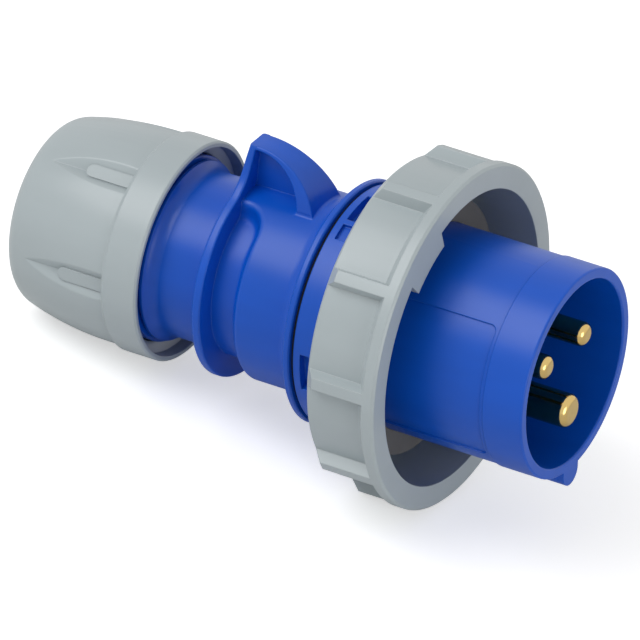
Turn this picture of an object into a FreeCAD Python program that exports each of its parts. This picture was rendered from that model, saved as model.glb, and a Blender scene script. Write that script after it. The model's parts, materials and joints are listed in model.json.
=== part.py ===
# Industrial pin and sleeve plug: three round pins in a keyed plastic sleeve, a bayonet locking ring that
# turns round it, a two part housing with a thumb fin, and a gland nut that clamps the cable.
#
# Every piece is drawn about the plug's own axis, which is X: x = 0 is the sleeve's mouth and the cable leaves
# at negative x. Angles run from +Y towards +Z. The finished pieces are then laid down together as the plug
# comes to rest on a table: on two ribs of the locking ring and on the gland nut, with its mouth raised.

import FreeCAD, Part
import Sketcher
import math
import os

Vector = FreeCAD.Vector
Turn = FreeCAD.Rotation
Place = FreeCAD.Placement

# Driving sizes in mm and degrees. Lengths that end in _x are measured back from the sleeve's mouth.
SIZES = {
    # Sleeve and its key
    "sleeve_r": 21.65,
    "sleeve_bore": 19.4,
    "band_x": 8.75,
    "band_step": 0.25,
    "floor_x": 36.5,
    "floor_t": 2.5,
    "floor_hole": 16.6,
    "mouth_round": 0.4,
    "key_r": 25.2,
    "key_w": 5.8,
    "key_end_x": 33.0,
    "panel_x": 9.6,
    "panel_depth": 0.35,
    "panel_angle": 83.0,
    "panel_middle": 176.5,
    "panel_round": 1.5,
    # Flange and drum behind the sleeve, round which the ring turns
    "flange_x": 37.6,
    "flange_t": 2.0,
    "flange_r": 28.0,
    "drum_r": 24.5,
    "drum_end_x": 49.7,
    "drum_bore": 21.0,
    "barb_r": 25.3,
    "barb_len": 2.4,
    "slot_end_x": 48.2,
    "slot_depth": 2.0,
    "slot_angle": 20.0,
    "slot_middle": 98.0,
    "slot_count": 4,
    "latch_len": 3.8,
    "latch_depth": 0.8,
    "latch_angle": 9.0,
    "latch_middle": 115.5,
    "gasket_t": 4.0,
    "gasket_r": 26.3,
    # Contacts
    "pin_circle_r": 8.8,
    "live_pin_r": 2.5,
    "live_tip_x": 1.6,
    "earth_pin_r": 3.5,
    "earth_tip_x": 0.2,
    "tip_round": 1.5,
    "pin_seat_extra": 0.25,
    "pin_seat_x": 36.6,
    "block_extra": 1.5,
    "neck_extra": 0.9,
    "block_len": 4.0,
    "terminal_len": 10.0,
    "wire_hole_share": 0.55,
    "wire_hole_len": 9.0,
    "clamp_screw_r": 1.5,
    "clamp_screw_len": 4.4,
    "clamp_screw_set": 0.8,
    "driver_slot_w": 0.6,
    "driver_slot_depth": 0.8,
    # Contact carrier and the plate that holds the pins in it
    "carrier_flange_t": 4.0,
    "carrier_barrel_r": 17.8,
    "carrier_end_x": 52.0,
    "post_circle_r": 12.5,
    "post_r": 2.6,
    "retainer_t": 2.5,
    "retainer_gap": 1.1,
    "retainer_screw_r": 1.4,
    "screw_head_r": 2.4,
    "screw_head_t": 1.8,
    "screw_head_edge": 0.7,
    "screw_bite": 3.0,
    # Locking ring
    "ring_x": 25.5,
    "ring_end_x": 41.9,
    "ring_r": 35.5,
    "ring_hole": 30.5,
    "ring_panel_r": 33.0,
    "ring_rim_t": 2.5,
    "ring_bevel": 1.9,
    "ring_edge": 0.5,
    "ring_lip_t": 2.0,
    "rib_count": 10,
    "rib_top_angle": 4.0,
    "rib_foot_angle": 6.8,
    "rib_end_len": 2.5,
    "rib_end_slope": 2.0,
    "lug_r": 26.7,
    "lug_t": 3.0,
    "lug_angle": 24.5,
    # Rear housing
    "seal_t": 0.7,
    "seal_r": 23.9,
    "housing_flange_step": 0.8,
    "housing_flange_t": 1.5,
    "flare_len": 3.6,
    "flare_rise": 4.0,
    "edge_round": 0.3,
    "body_r": 20.3,
    "channel_share": 0.3743,
    "channel_r": 17.2,
    "brow_share": 0.42,
    "foot_share": 0.55,
    "body_wall": 2.2,
    "disc_x": 72.6,
    "disc_t": 2.0,
    "disc_rise": 1.5,
    "neck_r": 17.0,
    "neck_end_x": 84.8,
    "lip_x": 87.6,
    "lip_r": 18.6,
    "lip_t": 0.6,
    "relief_depth": 0.9,
    "thread_x": 89.0,
    "thread_r": 19.2,
    "thread_edge": 0.8,
    "housing_end_x": 100.0,
    "spigot_r": 20.8,
    "spigot_bore": 18.1,
    "tail_bore": 15.0,
    # Thumb fin on the housing
    "fin_rise": 9.7,
    "fin_top_w": 5.5,
    "fin_foot_w": 11.0,
    "fin_bend_len": 1.1,
    "fin_foot_share": 0.07,
    "fin_foot_sink": 1.6,
    "strap_t": 0.9,
    "strap_foot_t": 4.0,
    "strap_round": 0.4,
    "foot_round": 0.65,
    "web_t": 1.4,
    "root_w": 13.4,
    "root_sweep_share": 0.78,
    "ogee_r": 9.0,
    "fin_lean_drop": 5.3,
    "fin_lean_front": 0.8,
    "fin_lean_back": 1.3,
    "disc_front_round": 0.4,
    "disc_back_round": 0.6,
    # Gland nut
    "nut_x": 86.8,
    "nut_collar_r": 22.7,
    "nut_collar_end_x": 94.6,
    "nut_barrel_r": 22.0,
    "nut_tail_r": 19.6,
    "nut_tail_x": 115.9,
    "nut_bulge_r": 68.0,
    "nut_end_x": 119.6,
    "nut_face_r": 14.7,
    "nut_corner_r": 5.05,
    "nut_edge": 0.4,
    "nut_mouth_r": 21.6,
    "nut_mouth_len": 2.7,
    "nut_mouth_cone": 1.0,
    "nut_hole": 9.0,
    "nut_seat_x": 115.5,
    "nut_cone_r": 15.5,
    "nut_cone_x": 106.0,
    "nut_throat_r": 18.2,
    "nut_thread_end_x": 103.0,
    "flute_count": 6,
    "flute_w": 6.7,
    "flute_valley_r": 20.2,
    "flute_middle": 120.5,
    "flute_round": 0.6,
    "tab_w": 2.9,
    "tab_len": 9.4,
    "tab_r": 21.35,
    "tab_end_r": 1.46,
    # Cable clamp
    "cage_bore": 13.4,
    "cage_r": 17.5,
    "cage_tip_r": 15.9,
    "cage_base_t": 2.5,
    "cage_end_x": 113.0,
    "cage_spigot_len": 3.0,
    "claw_slot_w": 1.6,
    "claw_count": 8,
    "cable_r": 6.5,
    "seal_front_x": 98.0,
    "washer_t": 1.4,
    # Clearances
    "running": 0.08,
    "loose": 0.3,
    "slack": 0.2,
    # How the plug lies: its underside, and the roll that sets it down on two ribs
    "under": 270.0,
    "rest_roll": 4.0,
}


class Size:
    """A length or an angle, kept with the formula that the sheet works out."""

    def __init__(self, value, text=None):
        self.value = float(value)
        self.text = repr(float(value)) if text is None else text

    def combine(self, other, sign, value):
        other = other if isinstance(other, Size) else Size(other)
        return Size(value(self.value, other.value), "(" + self.text + " " + sign + " " + other.text + ")")

    def __add__(self, other):
        return self.combine(other, "+", lambda a, b: a + b)

    def __sub__(self, other):
        return self.combine(other, "-", lambda a, b: a - b)

    def __mul__(self, other):
        return self.combine(other, "*", lambda a, b: a * b)

    def __truediv__(self, other):
        return self.combine(other, "/", lambda a, b: a / b)

    def __neg__(self):
        return Size(-self.value, "(-1 * " + self.text + ")")


def as_size(value):
    return value if isinstance(value, Size) else Size(value)


def sine(angle):
    angle = as_size(angle)
    return Size(math.sin(math.radians(angle.value)), "sin(" + angle.text + ")")


def cosine(angle):
    angle = as_size(angle)
    return Size(math.cos(math.radians(angle.value)), "cos(" + angle.text + ")")


def square_root(size):
    return Size(math.sqrt(size.value), "sqrt(" + size.text + ")")


doc = FreeCAD.newDocument("plug")
sheet = doc.addObject("Spreadsheet::Sheet", "sizes")
for row, (name, number) in enumerate(SIZES.items(), start=1):
    sheet.set("A" + str(row), name)
    sheet.set("B" + str(row), str(number))
    sheet.setAlias("B" + str(row), name)
doc.recompute()


class Named:
    """The sheet's sizes by name, as in d.sleeve_r."""

    def __getattr__(self, name):
        return Size(SIZES[name], "sizes." + name)


d = Named()


# Sketching helpers
def new_body(label):
    body = doc.addObject("PartDesign::Body", label)
    body.Label = label
    return body


def origin_feature(body, role):
    return [part for part in body.Origin.OriginFeatures if part.Role == role][0]


def new_sketch(body, name, plane, offset=None, tilt=None, tilt_axis=(1, 0, 0)):
    """A sketch on one of the body's own planes, moved along its normal by offset or turned by tilt."""
    sketch = body.newObject("Sketcher::SketchObject", name)
    sketch.AttachmentSupport = [(origin_feature(body, plane), "")]
    sketch.MapMode = "FlatFace"
    rise = {"y": Size(0), "z": Size(0) if offset is None else offset}
    turned = Turn()
    if tilt is not None:
        turned = Turn(Vector(*tilt_axis), tilt.value)
    if tilt is not None and offset is not None and tilt_axis[0]:
        rise = {"y": -(offset * sine(tilt)), "z": offset * cosine(tilt)}
    sketch.AttachmentOffset = Place(Vector(0, rise["y"].value, rise["z"].value), turned)
    for side, size in rise.items():
        sketch.setExpression("AttachmentOffset.Base." + side, size.text)
    if tilt is not None:
        sketch.setExpression("AttachmentOffset.Rotation.Angle", tilt.text)
    return sketch


def bind(sketch, constraint, size):
    index = sketch.addConstraint(constraint)
    sketch.setExpression("Constraints[" + str(index) + "]", as_size(size).text)


def outline(sketch, corners, arcs=None):
    """A closed profile through the corners. arcs gives, for the edge that leaves a corner, its radius:
    positive bends to the left of the way round, negative to the right."""
    arcs = arcs or {}
    points = [Vector(as_size(u).value, as_size(v).value, 0) for u, v in corners]
    starts, ends = [], []
    for i, a in enumerate(points):
        b = points[(i + 1) % len(points)]
        if i not in arcs:
            edge = sketch.addGeometry(Part.LineSegment(a, b), False)
            starts.append((edge, 1))
            ends.append((edge, 2))
            continue
        radius = as_size(arcs[i])
        reach = b - a
        side = Vector(-reach.y, reach.x, 0).normalize()
        rise = math.sqrt(max(radius.value ** 2 - (reach.Length / 2) ** 2, 1e-9))
        middle = (a + b) * 0.5 + side * rise * (1 if radius.value > 0 else -1)
        from_a = math.atan2(a.y - middle.y, a.x - middle.x)
        from_b = math.atan2(b.y - middle.y, b.x - middle.x)
        circle = Part.Circle(middle, Vector(0, 0, 1), abs(radius.value))
        if radius.value > 0:
            edge = sketch.addGeometry(Part.ArcOfCircle(circle, from_a, from_b), False)
            starts.append((edge, 1))
            ends.append((edge, 2))
        else:
            edge = sketch.addGeometry(Part.ArcOfCircle(circle, from_b, from_a), False)
            starts.append((edge, 2))
            ends.append((edge, 1))
    for i, (edge, end) in enumerate(starts):
        before = ends[i - 1]
        sketch.addConstraint(Sketcher.Constraint("Coincident", before[0], before[1], edge, end))
        u, v = as_size(corners[i][0]), as_size(corners[i][1])
        bind(sketch, Sketcher.Constraint("DistanceX", -1, 1, edge, end, u.value), u)
        bind(sketch, Sketcher.Constraint("DistanceY", -1, 1, edge, end, v.value), v)
        if i in arcs:
            radius = as_size(arcs[i])
            size = radius if radius.value > 0 else -radius
            bind(sketch, Sketcher.Constraint("Radius", edge, size.value), size)


def sweep_r(length, rise):
    """The radius of an arc that leaves a straight line smoothly and rises by rise within length."""
    return (length * length + rise * rise) / (rise * 2)


def circle_at(sketch, u, v, radius):
    """A circle with its centre at u, v."""
    u, v, radius = as_size(u), as_size(v), as_size(radius)
    edge = sketch.addGeometry(Part.Circle(Vector(u.value, v.value, 0), Vector(0, 0, 1), radius.value), False)
    bind(sketch, Sketcher.Constraint("DistanceX", -1, 1, edge, 3, u.value), u)
    bind(sketch, Sketcher.Constraint("DistanceY", -1, 1, edge, 3, v.value), v)
    bind(sketch, Sketcher.Constraint("Radius", edge, radius.value), radius)


def feature(body, kind, name, sketch, **settings):
    made = body.newObject("PartDesign::" + kind, name)
    made.Profile = sketch
    for key, value in settings.items():
        if isinstance(value, Size):
            setattr(made, key, value.value)
            made.setExpression(key, value.text)
        else:
            setattr(made, key, value)
    return made


def spin(body, name, corners, arcs=None, cut=False, angle=None, middle=None):
    """Turn a profile drawn as (x, radius) about the plug's axis. angle and middle give a part turn."""
    tilt = None if middle is None else middle - 90
    sketch = new_sketch(body, name + "_profile", "XZ_Plane", tilt=tilt)
    outline(sketch, corners, arcs)
    made = feature(body, "Groove" if cut else "Revolution", name, sketch)
    made.ReferenceAxis = (sketch, ["H_Axis"])
    made.Angle = 360
    if angle is not None:
        made.Angle = angle.value
        made.setExpression("Angle", angle.text)
        made.Midplane = True
    return made


def around(body, name, originals, count):
    """Repeat features round the plug's axis."""
    doc.recompute()
    pattern = body.newObject("PartDesign::PolarPattern", name)
    pattern.Originals = originals
    pattern.Axis = (origin_feature(body, "X_Axis"), [""])
    pattern.Angle = 360
    pattern.Occurrences = int(count.value)
    pattern.setExpression("Occurrences", count.text)
    body.Tip = pattern
    doc.recompute()
    return pattern


def soften(body, name, base, radius, chosen):
    """Round the edges of base for which chosen(edge) holds."""
    doc.recompute()
    names = ["Edge" + str(i) for i, edge in enumerate(base.Shape.Edges, start=1) if chosen(edge)]
    fillet = body.newObject("PartDesign::Fillet", name)
    fillet.Base = (base, names)
    fillet.Radius = radius.value
    fillet.setExpression("Radius", radius.text)
    doc.recompute()
    return fillet


# Sleeve: the keyed shroud with the drum on which the ring turns
sleeve = new_body("front_sleeve")
inner_r = d.sleeve_r - d.band_step
barb_x = d.ring_end_x + d.loose
spin(sleeve, "shroud", [
    (0, d.sleeve_bore + d.mouth_round),
    (-d.mouth_round, d.sleeve_bore),
    (-d.floor_x, d.sleeve_bore),
    (-d.floor_x, d.floor_hole),
    (-(d.floor_x + d.floor_t), d.floor_hole),
    (-(d.floor_x + d.floor_t), d.drum_bore),
    (-d.drum_end_x, d.drum_bore),
    (-d.drum_end_x, d.drum_r),
    (-(barb_x + d.barb_len), d.drum_r),
    (-barb_x, d.barb_r),
    (-barb_x, d.drum_r),
    (-(d.flange_x + d.flange_t), d.drum_r),
    (-(d.flange_x + d.flange_t), d.flange_r),
    (-d.flange_x, d.flange_r),
    (-d.flange_x, inner_r),
    (-d.band_x, inner_r),
    (-d.band_x, d.sleeve_r),
    (-d.mouth_round, d.sleeve_r),
    (0, d.sleeve_r - d.mouth_round),
], {0: -d.mouth_round, 17: -d.mouth_round})
key_sketch = new_sketch(sleeve, "key_profile", "YZ_Plane")
key_half = d.key_w / 2
outline(key_sketch, [
    (key_half, -(d.sleeve_bore + d.sleeve_r) / 2),
    (-key_half, -(d.sleeve_bore + d.sleeve_r) / 2),
    (-key_half, -(d.key_r - key_half)),
    (key_half, -(d.key_r - key_half)),
], {2: key_half})
feature(sleeve, "Pad", "key", key_sketch, Length=d.key_end_x, Reversed=True)
spin(sleeve, "name_panel", [
    (-d.panel_x, inner_r - d.panel_depth),
    (-d.panel_x, d.sleeve_r),
    (-(d.flange_x - d.gasket_t), d.sleeve_r),
    (-(d.flange_x - d.gasket_t), inner_r - d.panel_depth),
], cut=True, angle=d.panel_angle, middle=d.panel_middle)
slot = spin(sleeve, "drum_slot", [
    (-d.slot_end_x, d.drum_r - d.slot_depth),
    (-d.slot_end_x, d.barb_r + d.slack),
    (-(barb_x - d.slack), d.barb_r + d.slack),
    (-(barb_x - d.slack), d.drum_r - d.slot_depth),
], cut=True, angle=d.slot_angle, middle=d.slot_middle)
around(sleeve, "drum_slots", [slot], d.slot_count)
latch = spin(sleeve, "latch_window", [
    (-d.slot_end_x, d.drum_r - d.latch_depth),
    (-d.slot_end_x, d.drum_r + d.slack),
    (-(d.slot_end_x - d.latch_len), d.drum_r + d.slack),
    (-(d.slot_end_x - d.latch_len), d.drum_r - d.latch_depth),
], cut=True, angle=d.latch_angle, middle=d.latch_middle)


def panel_corner(edge):
    """A short edge at a corner of the panel, on the mouth's side."""
    bounds = edge.BoundBox
    in_front = min(bounds.XMin, bounds.XMax) > -(d.panel_x + d.panel_depth).value
    behind = max(bounds.XMin, bounds.XMax) < -(d.panel_x - d.panel_depth).value
    return in_front and behind and edge.Length < 2 * d.panel_depth.value


sleeve.Tip = soften(sleeve, "panel_corners", latch, d.panel_round, panel_corner)

# Contact angles: the earth pin lies on the key, the other two are a third of a turn away
CONTACTS = {
    "earth": (270.0, d.earth_pin_r, d.earth_tip_x),
    "line": (30.0, d.live_pin_r, d.live_tip_x),
    "neutral": (150.0, d.live_pin_r, d.live_tip_x),
}
POST_ANGLES = (90.0, 210.0, 330.0)

# Contact carrier: the floor of the sleeve, with a bore for each pin and three posts behind
carrier = new_body("contact_carrier")
carrier_x = d.floor_x + d.floor_t
spin(carrier, "carrier_blank", [
    (-(d.floor_x + d.loose), 0),
    (-carrier_x, 0),
    (-d.carrier_end_x, 0),
    (-d.carrier_end_x, d.carrier_barrel_r),
    (-(carrier_x + d.carrier_flange_t), d.carrier_barrel_r),
    (-(carrier_x + d.carrier_flange_t), d.drum_bore - d.loose),
    (-carrier_x, d.drum_bore - d.loose),
    (-carrier_x, d.floor_hole - d.loose),
    (-(d.floor_x + d.loose), d.floor_hole - d.loose),
])
posts = new_sketch(carrier, "post_profile", "YZ_Plane", offset=-d.carrier_end_x)
for angle in POST_ANGLES:
    circle_at(posts, d.post_circle_r * cosine(angle), d.post_circle_r * sine(angle), d.post_r)
feature(carrier, "Pad", "posts", posts, Length=d.block_len, Reversed=True)
bores = new_sketch(carrier, "bore_profile", "YZ_Plane", offset=-d.floor_x)
for angle, radius, tip in CONTACTS.values():
    bore = radius + d.pin_seat_extra + d.running
    circle_at(bores, d.pin_circle_r * cosine(angle), d.pin_circle_r * sine(angle), bore)
feature(carrier, "Pocket", "pin_bores", bores, Type=1)
threads = new_sketch(carrier, "post_bore_profile", "YZ_Plane", offset=-(d.carrier_end_x + d.block_len))
for angle in POST_ANGLES:
    place = d.post_circle_r * cosine(angle), d.post_circle_r * sine(angle)
    circle_at(threads, place[0], place[1], d.retainer_screw_r + d.running)
post_bores = feature(carrier, "Pocket", "post_bores", threads, Length=d.screw_bite + d.loose, Reversed=True)
carrier.Tip = post_bores

# Pins, each turned in one piece with its wire terminal, and the clamp screw of each terminal. A pin is a
# little thicker where it sits in the carrier.
terminal_end = d.carrier_end_x + d.block_len + d.terminal_len
screw_x = d.carrier_end_x + d.block_len + d.retainer_t + d.clamp_screw_set + d.clamp_screw_r * 2
contact_bodies = []
for name, (angle, radius, tip) in CONTACTS.items():
    pin = new_body(name + "_pin")
    block_r = radius + d.block_extra
    neck_r = radius + d.neck_extra
    spin(pin, name + "_pin_turned", [
        (-tip, 0),
        (-terminal_end, 0),
        (-terminal_end, neck_r),
        (-(d.carrier_end_x + d.block_len), neck_r),
        (-(d.carrier_end_x + d.block_len), block_r),
        (-d.carrier_end_x, block_r),
        (-d.carrier_end_x, radius + d.pin_seat_extra),
        (-d.pin_seat_x, radius + d.pin_seat_extra),
        (-d.pin_seat_x, radius),
        (-(tip + d.tip_round), radius),
        (-tip, radius - d.tip_round),
    ], {9: -d.tip_round})
    wire = new_sketch(pin, name + "_wire_profile", "YZ_Plane", offset=-terminal_end)
    circle_at(wire, 0, 0, neck_r * d.wire_hole_share)
    feature(pin, "Pocket", name + "_wire_hole", wire, Length=d.wire_hole_len, Reversed=True)
    tapped = new_sketch(pin, name + "_tapped_profile", "XY_Plane")
    circle_at(tapped, -screw_x, 0, d.clamp_screw_r + d.running)
    hole = feature(pin, "Pocket", name + "_tapped_hole", tapped, Length=block_r + d.loose, Reversed=True)
    pin.Tip = hole
    screw = new_body(name + "_clamp_screw")
    shank = new_sketch(screw, name + "_screw_profile", "XY_Plane", offset=neck_r - d.clamp_screw_len / 2)
    circle_at(shank, -screw_x, 0, d.clamp_screw_r)
    feature(screw, "Pad", name + "_screw_shank", shank, Length=d.clamp_screw_len)
    cross = new_sketch(screw, name + "_screw_slot_profile", "XZ_Plane")
    top = neck_r + d.clamp_screw_len / 2
    wide = d.driver_slot_w / 2
    outline(cross, [
        (-screw_x - wide, top - d.driver_slot_depth),
        (-screw_x + wide, top - d.driver_slot_depth),
        (-screw_x + wide, top + d.slack),
        (-screw_x - wide, top + d.slack),
    ])
    driven = feature(screw, "Pocket", name + "_screw_slot", cross, Length=d.clamp_screw_r * 3, Midplane=True)
    screw.Tip = driven
    seat = Place(
        Vector(0, (d.pin_circle_r * cosine(angle)).value, (d.pin_circle_r * sine(angle)).value),
        Turn(Vector(1, 0, 0), angle - 90.0),
    )
    contact_bodies.append((pin, seat))
    contact_bodies.append((screw, seat))

# Retainer plate behind the carrier, on its posts, with three screws
retainer = new_body("contact_retainer")
retainer_r = d.body_r - d.body_wall - d.retainer_gap
plate = new_sketch(retainer, "plate_profile", "YZ_Plane", offset=-(d.carrier_end_x + d.block_len))
circle_at(plate, 0, 0, retainer_r)
for angle, radius, tip in CONTACTS.values():
    passage_r = radius + d.neck_extra + d.slack
    circle_at(plate, d.pin_circle_r * cosine(angle), d.pin_circle_r * sine(angle), passage_r)
for angle in POST_ANGLES:
    place = d.post_circle_r * cosine(angle), d.post_circle_r * sine(angle)
    circle_at(plate, place[0], place[1], d.retainer_screw_r + d.slack)
retainer.Tip = feature(retainer, "Pad", "plate", plate, Length=d.retainer_t, Reversed=True)
plate_back = d.carrier_end_x + d.block_len + d.retainer_t
for number, angle in enumerate(POST_ANGLES, start=1):
    screw = new_body("retainer_screw_" + str(number))
    spin(screw, "retainer_screw_turned_" + str(number), [
        (-(plate_back - d.retainer_t - d.screw_bite), 0),
        (-(plate_back + d.screw_head_t), 0),
        (-(plate_back + d.screw_head_t), d.screw_head_r - d.screw_head_edge),
        (-(plate_back + d.screw_head_t - d.screw_head_edge), d.screw_head_r),
        (-plate_back, d.screw_head_r),
        (-plate_back, d.retainer_screw_r),
        (-(plate_back - d.retainer_t - d.screw_bite), d.retainer_screw_r),
    ])
    slit = new_sketch(screw, "retainer_screw_slit_" + str(number), "XY_Plane")
    outline(slit, [
        (-(plate_back + d.screw_head_t + d.slack), -d.driver_slot_w / 2),
        (-(plate_back + d.screw_head_t - d.driver_slot_depth), -d.driver_slot_w / 2),
        (-(plate_back + d.screw_head_t - d.driver_slot_depth), d.driver_slot_w / 2),
        (-(plate_back + d.screw_head_t + d.slack), d.driver_slot_w / 2),
    ])
    screw.Tip = feature(screw, "Pocket", "retainer_slit_" + str(number), slit,
                        Length=d.screw_head_r * 3, Midplane=True)
    seat = Place(
        Vector(0, (d.post_circle_r * cosine(angle)).value, (d.post_circle_r * sine(angle)).value),
        Turn(),
    )
    contact_bodies.append((screw, seat))

# Locking ring: a rim in front, recessed panels between bevelled ribs, a lip that runs on the drum and two
# bayonet lugs that point inwards. Two of its ribs are what the plug lies on.
rib_pitch = Size(360) / d.rib_count
first_rib = Size(90) - d.rest_roll + rib_pitch / 2
ring = new_body("locking_ring")
rim_end = d.ring_x + d.ring_rim_t
lip_r = d.drum_r + d.running
spin(ring, "ring_blank", [
    (-d.ring_x, d.ring_hole),
    (-(d.ring_end_x - d.ring_lip_t), d.ring_hole),
    (-(d.ring_end_x - d.ring_lip_t), lip_r),
    (-d.ring_end_x, lip_r),
    (-d.ring_end_x, d.ring_panel_r - d.ring_edge),
    (-(d.ring_end_x - d.ring_edge), d.ring_panel_r),
    (-(rim_end + d.ring_bevel), d.ring_panel_r),
    (-rim_end, d.ring_r),
    (-(d.ring_x + d.ring_edge), d.ring_r),
    (-d.ring_x, d.ring_r - d.ring_edge),
])
rib_sketch = new_sketch(
    ring, "rib_profile", "YZ_Plane", offset=-rim_end, tilt=first_rib, tilt_axis=(0, 0, 1)
)
foot_r = d.ring_panel_r - d.ring_edge
outline(rib_sketch, [
    (foot_r * cosine(d.rib_foot_angle / 2), -foot_r * sine(d.rib_foot_angle / 2)),
    (d.ring_r * cosine(d.rib_top_angle / 2), -d.ring_r * sine(d.rib_top_angle / 2)),
    (d.ring_r * cosine(d.rib_top_angle / 2), d.ring_r * sine(d.rib_top_angle / 2)),
    (foot_r * cosine(d.rib_foot_angle / 2), foot_r * sine(d.rib_foot_angle / 2)),
], {1: d.ring_r})
rib = feature(ring, "Pad", "rib", rib_sketch, Length=d.ring_end_x - d.ring_edge - rim_end, Reversed=True)
around(ring, "ribs", [rib], d.rib_count)
rib_end_x = d.ring_end_x - d.rib_end_len
spin(ring, "rib_ends", [
    (-rib_end_x, d.ring_r),
    (-rib_end_x, d.ring_r + d.slack),
    (-(d.ring_end_x + d.slack), d.ring_r + d.slack),
    (-(d.ring_end_x + d.slack), d.ring_panel_r),
    (-(rib_end_x + d.rib_end_slope), d.ring_panel_r),
], cut=True)
lug = spin(ring, "bayonet_lug", [
    (-d.ring_x, d.lug_r),
    (-(d.ring_x + d.lug_t), d.lug_r),
    (-(d.ring_x + d.lug_t), d.ring_hole + d.slack),
    (-d.ring_x, d.ring_hole + d.slack),
], angle=d.lug_angle, middle=first_rib + rib_pitch / 2)
around(ring, "bayonet_lugs", [lug], Size(2))

# Gasket on the flange, inside the ring
gasket = new_body("flange_gasket")
spin(gasket, "gasket_turned", [
    (-d.flange_x, inner_r + d.running),
    (-d.flange_x, d.gasket_r),
    (-(d.flange_x - d.gasket_t), d.gasket_r),
    (-(d.flange_x - d.gasket_t), inner_r + d.running),
])

# Seal between the two halves of the housing
seal = new_body("housing_seal")
housing_x = d.drum_end_x + d.seal_t
spin(seal, "seal_turned", [
    (-d.drum_end_x, d.spigot_r + d.loose),
    (-d.drum_end_x, d.seal_r),
    (-housing_x, d.seal_r),
    (-housing_x, d.spigot_r + d.loose),
])

# Rear housing: flange, barrel, finger channel, grip disc with the thumb fin, neck and gland thread
housing = new_body("rear_housing")
spigot_x = carrier_x + d.carrier_flange_t
flare_x = housing_x + d.housing_flange_t
flare_end_x = flare_x + d.flare_len
flange_r = d.body_r + d.flare_rise + d.housing_flange_step
disc_middle = d.disc_x + d.disc_t / 2
disc_r = d.body_r + d.disc_rise
barrel_len = d.disc_x - flare_end_x
channel_len = barrel_len * d.channel_share
channel_x = d.disc_x - channel_len
channel_drop = d.body_r - d.channel_r
root_sweep = channel_len * d.root_sweep_share
spin(housing, "barrel", [
    (-spigot_x, 0),
    (-d.housing_end_x, 0),
    (-d.housing_end_x, d.thread_r - d.thread_edge),
    (-(d.housing_end_x - d.thread_edge), d.thread_r),
    (-d.thread_x, d.thread_r),
    (-d.thread_x, d.lip_r - d.relief_depth),
    (-(d.lip_x + d.lip_t), d.lip_r - d.relief_depth),
    (-(d.lip_x + d.lip_t), d.lip_r),
    (-d.lip_x, d.lip_r),
    (-d.neck_end_x, d.neck_r),
    (-disc_middle, d.neck_r),
    (-disc_middle, d.channel_r),
    (-channel_x, d.channel_r),
    (-channel_x, d.body_r),
    (-flare_end_x, d.body_r),
    (-flare_x, d.body_r + d.flare_rise),
    (-flare_x, flange_r - d.edge_round),
    (-(flare_x - d.edge_round), flange_r),
    (-(housing_x + d.edge_round), flange_r),
    (-housing_x, flange_r - d.edge_round),
    (-housing_x, d.spigot_r),
    (-spigot_x, d.spigot_r),
], {
    8: sweep_r(d.lip_x - d.neck_end_x, d.lip_r - d.neck_r),
    14: sweep_r(d.flare_len, d.flare_rise),
}, middle=d.under)
# The barrel runs on under the fin as a bell shaped root, so the channel stops on either side of it
root_end_x = channel_x - d.edge_round
bell_x = channel_x + root_sweep
bell_half_w = d.root_w / 2 + root_sweep
root = new_sketch(housing, "root_profile", "XY_Plane", offset=d.channel_r / 2)
outline(root, [
    (-disc_middle, -d.root_w / 2),
    (-bell_x, -d.root_w / 2),
    (-channel_x, -bell_half_w),
    (-root_end_x, -bell_half_w),
    (-root_end_x, bell_half_w),
    (-channel_x, bell_half_w),
    (-bell_x, d.root_w / 2),
    (-disc_middle, d.root_w / 2),
], {1: -root_sweep, 5: -root_sweep})
feature(housing, "Pad", "fin_root", root, Length=d.body_r)
trim = spin(housing, "root_trim", [
    (-disc_middle, d.body_r),
    (-disc_middle, d.body_r * 2),
    (-root_end_x, d.body_r * 2),
    (-root_end_x, d.body_r),
], cut=True, middle=d.under)


def round_channel(edge, radius):
    """An edge that follows the finger channel at that radius, and not one that ends it at the disc."""
    points = edge.discretize(Number=5)
    level = all(abs(math.hypot(point.y, point.z) - radius.value) < 0.02 for point in points)
    inside = all(-disc_middle.value - 0.01 < point.x < -channel_x.value + 0.01 for point in points)
    return level and inside and any(point.x > -disc_middle.value + 0.01 for point in points)


brow_r = channel_drop * d.brow_share
channel_foot_r = channel_drop * d.foot_share
brow = soften(housing, "channel_brow", trim, brow_r, lambda edge: round_channel(edge, d.body_r))
soften(housing, "channel_foot", brow, channel_foot_r, lambda edge: round_channel(edge, d.channel_r))
# Thumb fin: a curved strap that widens to its foot, held by a thin web down its middle
fin_top = d.body_r + d.fin_rise
fin_bend_x = d.disc_x - d.fin_bend_len
fin_foot_x = flare_end_x + barrel_len * d.fin_foot_share
strap_foot_z = d.body_r - d.fin_foot_sink
inner_foot_x = fin_foot_x + d.strap_foot_t
strap = new_sketch(housing, "strap_profile", "XZ_Plane")
outline(strap, [
    (-d.disc_x, fin_top),
    (-fin_bend_x, fin_top),
    (-fin_foot_x, strap_foot_z),
    (-inner_foot_x, strap_foot_z),
    (-fin_bend_x, fin_top - d.strap_t),
    (-d.disc_x, fin_top - d.strap_t),
], {
    1: -sweep_r(fin_bend_x - fin_foot_x, fin_top - strap_foot_z),
    3: sweep_r(fin_bend_x - inner_foot_x, fin_top - d.strap_t - strap_foot_z),
})
feature(housing, "Pad", "fin_strap", strap, Length=d.fin_foot_w, Midplane=True)
slope = (d.fin_foot_w - d.fin_top_w) / 2 / (fin_top - d.body_r)


def fin_half(height):
    """Half the fin's width at a height."""
    return d.fin_top_w / 2 + slope * (fin_top - height)


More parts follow.
